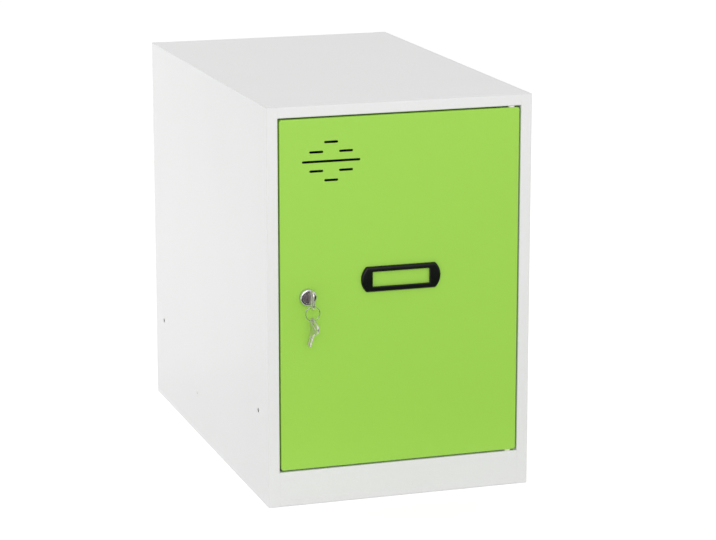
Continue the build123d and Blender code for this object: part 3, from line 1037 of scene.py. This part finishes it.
world = bpy.data.worlds.new("studio")
bpy.context.scene.world = world
tree = Tree(world)
strength = ambient + seen(tree) * (1 - ambient)
sky = tree.add("ShaderNodeBackground", {}, {"Color": white, "Strength": strength})
tree.add("ShaderNodeOutputWorld", {}, {"Surface": sky})
print("world lights surfaces at", ambient)

# %% [markdown]
# The locker stands on white paper. Studios let it curve up behind the piece, but the bend would show in the
# polished parts. A wide flat sheet under a white world looks as endless, and one helper makes it and the
# cards that come later.

# %% Floor
floor_white = 0.8
floor_glow = 0.45
floor_reach = 12.0


def rectangle(name, low, high, height, tree):
    """Level rectangle between two corners, in the finish that a tree holds."""
    ends = ((low[0], low[1]), (high[0], low[1]), (high[0], high[1]), (low[0], high[1]))
    mesh = bpy.data.meshes.new(name)
    mesh.from_pydata([(x, y, height) for x, y in ends], [], [(0, 1, 2, 3)])
    mesh.materials.append(tree.owner)
    piece = bpy.data.objects.new(name, mesh)
    bpy.context.scene.collection.objects.link(piece)
    return piece


tree = Tree(bpy.data.materials.new("studio_floor"))
paper = tree.add("ShaderNodeBsdfDiffuse", {}, {"Color": colour(floor_white, floor_white, floor_white)})
glow = tree.add("ShaderNodeEmission", {}, {"Color": white, "Strength": seen(tree) * floor_glow})
both = tree.add("ShaderNodeAddShader", {}, {0: paper, 1: glow})
tree.add("ShaderNodeOutputMaterial", {}, {"Surface": both})
floor = rectangle("floor", (-floor_reach, -floor_reach), (floor_reach, floor_reach), 0, tree)

# %% [markdown]
# Two broad lamps do the modelling. One stands at the left, a little behind the locker, so the side panel is
# the brightest face and fades towards the front. The other stands by the camera and lifts the door and the
# frame. Both are low, so the top is the darkest of the three faces, as in the picture.

# %% Lamps
side_way = Vector((-1.0, 0.75, 0.50))
side_distance = 1.9
side_size = 1.2
side_power = 9.4
front_way = Vector((-0.14, -1.0, 0.32))
front_distance = 2.6
front_size = 1.6
front_power = 19.2
locker_middle = (Vector(cad_box[0]) + Vector(cad_box[1])) / 2


def lamp(name, way, distance, size, power):
    """Square soft light that stands some way off the locker and faces its middle."""
    light = bpy.data.lights.new(name, "AREA")
    light.size = size
    light.energy = power
    fixture = bpy.data.objects.new(name, light)
    bpy.context.scene.collection.objects.link(fixture)
    fixture.location = locker_middle + way.normalized() * distance
    fixture.rotation_mode = "QUATERNION"
    fixture.rotation_quaternion = (locker_middle - fixture.location).to_track_quat("-Z", "Y")
    print(name, "at", [round(v, 2) for v in fixture.location])


lamp("side_light", side_way, side_distance, side_size, side_power)
lamp("front_light", front_way, front_distance, front_size, front_power)

# %% [markdown]
# Polished metal shows what stands round it. In a room of plain white it would look like paper, so studios
# lay dark card where the metal looks, to give it an outline. One sheet lies before the locker: the lock, the
# ring and the edges of the keys find it in their reflections. A white one lies at the left, where the side
# panel mirrors the ground beside it, and keeps that faint reflection even. Only reflections see them, so the
# floor stays white and evenly lit. Each card glows at its own tone and lights nothing: a painted reflection.

# %% Cards that only reflections see
card_lift = 0.002


def card(name, low, high, tone):
    """Flat sheet just over the floor, of one plain tone, left out of all but reflections."""
    tree = Tree(bpy.data.materials.new(name))
    # The sheet glows at its tone, so what reflections show of it is a painted reflection, not lit card.
    shade = tree.add("ShaderNodeEmission", {}, {"Color": colour(tone, tone, tone), "Strength": 1.0})
    tree.add("ShaderNodeOutputMaterial", {}, {"Surface": shade})
    sheet = rectangle(name, low, high, card_lift, tree)
    sheet.visible_camera = False
    sheet.visible_diffuse = False
    sheet.visible_transmission = False
    sheet.visible_shadow = False
    print(name, "covers", round((high[0] - low[0]) * (high[1] - low[1]), 2), "square metres")


card("front_card", low=(-0.60, -2.60), high=(1.30, -0.40), tone=0.08)
card("side_card", low=(-1.20, -0.27), high=(-0.16, 0.30), tone=1.03)

# %% [markdown]
# ## Camera
# The picture was taken with a long lens from the left and above, so the far edges shrink only a little. The
# lens, the place and the two angles could be tried by eye, but each changes what the others do. They were
# fitted together to the corners of the cabinet instead.

# %% Camera
lens = 136.5
sensor = 36.0
yaw = math.radians(18.07)
pitch = math.radians(13.10)
stand = Vector((-0.9302, -2.9523, 0.9199))
camera = bpy.data.objects.new("camera", bpy.data.cameras.new("camera"))
bpy.context.scene.collection.objects.link(camera)
camera.data.sensor_width = sensor
camera.data.lens = lens
camera.data.clip_start = 0.05
camera.data.clip_end = 100.0
camera.location = stand
forward = Vector((math.sin(yaw) * math.cos(pitch), math.cos(yaw) * math.cos(pitch), -math.sin(pitch)))
camera.rotation_mode = "QUATERNION"
camera.rotation_quaternion = forward.to_track_quat("-Z", "Y")
bpy.context.scene.camera = camera
bpy.context.scene.view_settings.view_transform = "Standard"
print("camera is", round((stand - locker_middle).length, 2), "metres from the locker's middle")
